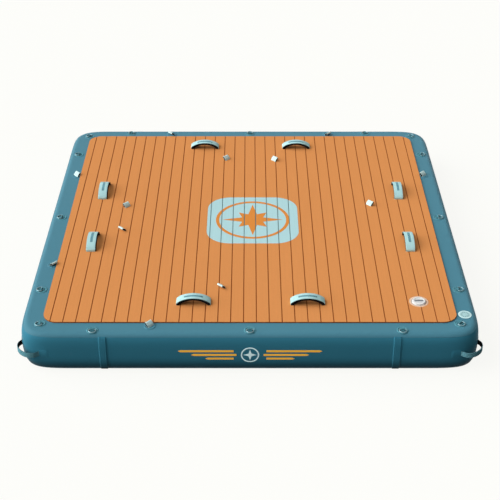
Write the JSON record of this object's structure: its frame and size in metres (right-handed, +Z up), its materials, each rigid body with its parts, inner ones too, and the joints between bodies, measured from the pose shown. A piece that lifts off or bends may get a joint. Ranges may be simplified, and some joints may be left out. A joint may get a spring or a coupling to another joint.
{
  "type": "inflatable dock platform",
  "caption": "Square inflatable swim and dock platform with a grooved foam deck, webbing handles, tie-down rings, tabs and an inflation valve.",
  "frame": {"origin": "centre of the flat bottom face, on the ground or the water", "axes": "+Z up, +X to the right and -Y towards the front side, along which the deck's planks point"},
  "size_m": [2.1474, 2.1474, 0.2482],
  "materials": {
    "coated_teal": "satin",
    "woven_core": "matte",
    "deck_foam": "matte",
    "panel_foam": "matte",
    "handle_webbing": "matte",
    "carry_webbing": "matte",
    "tab_webbing": "matte",
    "ring_steel": "polished",
    "valve_plastic": "satin",
    "valve_inner": "satin",
    "spring_steel": "satin"
  },
  "bodies": {
    "platform": {"bottom_skin": "coated_teal", "carry_handle_front_left": "carry_webbing", "carry_handle_front_right": "carry_webbing", "carry_handle_rear_left": "carry_webbing", "carry_handle_rear_right": "carry_webbing", "centre_panel": "panel_foam", "data_disc": "panel_foam", "deck_pad": "deck_foam", "deck_tab_front_left": "tab_webbing", "deck_tab_left_front": "tab_webbing", "deck_tab_left_rear": "tab_webbing", "deck_tab_rear_left": "tab_webbing", "deck_tab_rear_right": "tab_webbing", "deck_tab_right_rear": "tab_webbing", "drop_stitch_core": "woven_core", "grab_handle_front_a": "handle_webbing", "grab_handle_front_b": "handle_webbing", "grab_handle_left_a": "handle_webbing", "grab_handle_left_b": "handle_webbing", "grab_handle_rear_a": "handle_webbing", "grab_handle_rear_b": "handle_webbing", "grab_handle_right_a": "handle_webbing", "grab_handle_right_b": "handle_webbing", "rim_tab_front_left": "tab_webbing", "rim_tab_left_front": "tab_webbing", "rim_tab_left_rear": "tab_webbing", "rim_tab_rear_left": "tab_webbing", "rim_tab_rear_right": "tab_webbing", "rim_tab_right_rear": "tab_webbing", "side_wall_front": "coated_teal", "side_wall_left": "coated_teal", "side_wall_rear": "coated_teal", "side_wall_right": "coated_teal", "splice_front_left": "coated_teal", "splice_front_right": "coated_teal", "splice_rear_left": "coated_teal", "splice_rear_right": "coated_teal", "top_skin": "coated_teal", "valve_body": "valve_plastic", "valve_nut": "valve_plastic", "valve_spring": "spring_steel"},
    "ring_front_a": {"d_ring_front_a": "ring_steel"},
    "ring_front_b": {"d_ring_front_b": "ring_steel"},
    "ring_front_c": {"d_ring_front_c": "ring_steel"},
    "ring_right_a": {"d_ring_right_a": "ring_steel"},
    "ring_right_b": {"d_ring_right_b": "ring_steel"},
    "ring_right_c": {"d_ring_right_c": "ring_steel"},
    "ring_rear_a": {"d_ring_rear_a": "ring_steel"},
    "ring_rear_b": {"d_ring_rear_b": "ring_steel"},
    "ring_rear_c": {"d_ring_rear_c": "ring_steel"},
    "ring_left_a": {"d_ring_left_a": "ring_steel"},
    "ring_left_b": {"d_ring_left_b": "ring_steel"},
    "ring_left_c": {"d_ring_left_c": "ring_steel"},
    "ring_corner_after_front": {"d_ring_corner_after_front": "ring_steel"},
    "ring_corner_after_right": {"d_ring_corner_after_right": "ring_steel"},
    "ring_corner_after_rear": {"d_ring_corner_after_rear": "ring_steel"},
    "ring_corner_after_left": {"d_ring_corner_after_left": "ring_steel"},
    "cap": {"valve_cap": "valve_plastic"},
    "plunger": {"valve_plunger": "valve_inner"}
  },
  "joints": [
    {"name": "ring_front_a_fold", "type": "hinge", "parent": "platform", "child": "ring_front_a", "pos_m": [0.69663, -1.017, 0.2075], "axis": [-1, 0, 0], "range_deg": [0, 180]},
    {"name": "ring_front_b_fold", "type": "hinge", "parent": "platform", "child": "ring_front_b", "pos_m": [0, -1.017, 0.2075], "axis": [-1, 0, 0], "range_deg": [0, 180]},
    {"name": "ring_front_c_fold", "type": "hinge", "parent": "platform", "child": "ring_front_c", "pos_m": [-0.71955, -1.017, 0.2075], "axis": [-1, 0, 0], "range_deg": [0, 180]},
    {"name": "ring_right_a_fold", "type": "hinge", "parent": "platform", "child": "ring_right_a", "pos_m": [1.001, 0.72861, 0.2075], "axis": [0, -1, 0], "range_deg": [0, 180]},
    {"name": "ring_right_b_fold", "type": "hinge", "parent": "platform", "child": "ring_right_b", "pos_m": [1.001, 0, 0.2075], "axis": [0, -1, 0], "range_deg": [0, 180]},
    {"name": "ring_right_c_fold", "type": "hinge", "parent": "platform", "child": "ring_right_c", "pos_m": [1.001, -0.68757, 0.2075], "axis": [0, -1, 0], "range_deg": [0, 180]},
    {"name": "ring_rear_a_fold", "type": "hinge", "parent": "platform", "child": "ring_rear_a", "pos_m": [-0.71955, 1.004, 0.2075], "axis": [1, 0, 0], "range_deg": [0, 180]},
    {"name": "ring_rear_b_fold", "type": "hinge", "parent": "platform", "child": "ring_rear_b", "pos_m": [0, 1.004, 0.2075], "axis": [1, 0, 0], "range_deg": [0, 180]},
    {"name": "ring_rear_c_fold", "type": "hinge", "parent": "platform", "child": "ring_rear_c", "pos_m": [0.69663, 1.004, 0.2075], "axis": [1, 0, 0], "range_deg": [0, 180]},
    {"name": "ring_left_a_fold", "type": "hinge", "parent": "platform", "child": "ring_left_a", "pos_m": [-1.001, -0.68757, 0.2075], "axis": [0, 1, 0], "range_deg": [0, 180]},
    {"name": "ring_left_b_fold", "type": "hinge", "parent": "platform", "child": "ring_left_b", "pos_m": [-1.001, 0, 0.2075], "axis": [0, 1, 0], "range_deg": [0, 180]},
    {"name": "ring_left_c_fold", "type": "hinge", "parent": "platform", "child": "ring_left_c", "pos_m": [-1.001, 0.72861, 0.2075], "axis": [0, 1, 0], "range_deg": [0, 180]},
    {"name": "ring_corner_after_front_fold", "type": "hinge", "parent": "platform", "child": "ring_corner_after_front", "pos_m": [-0.966, -0.966, 0.2075], "axis": [-0.7071, 0.7071, 0], "range_deg": [0, 180]},
    {"name": "ring_corner_after_right_fold", "type": "hinge", "parent": "platform", "child": "ring_corner_after_right", "pos_m": [0.966, -0.966, 0.2075], "axis": [-0.7071, -0.7071, 0], "range_deg": [0, 180]},
    {"name": "ring_corner_after_rear_fold", "type": "hinge", "parent": "platform", "child": "ring_corner_after_rear", "pos_m": [0.966, 0.966, 0.2075], "axis": [0.7071, -0.7071, 0], "range_deg": [0, 180]},
    {"name": "ring_corner_after_left_fold", "type": "hinge", "parent": "platform", "child": "ring_corner_after_left", "pos_m": [-0.966, 0.966, 0.2075], "axis": [0.7071, 0.7071, 0], "range_deg": [0, 180]},
    {"name": "valve_cap_turn", "type": "hinge", "parent": "platform", "child": "cap", "pos_m": [0.797, -0.795, 0.2105], "axis": [0, 0, 1], "range_deg": [0, 90]},
    {"name": "valve_plunger_press", "type": "slide", "parent": "platform", "child": "plunger", "axis": [0, 0, -1], "range_m": [0, 0.006], "stiffness_N_per_m": 500, "springref_m": -0.004, "deforming": ["valve_spring"]}
  ]
}
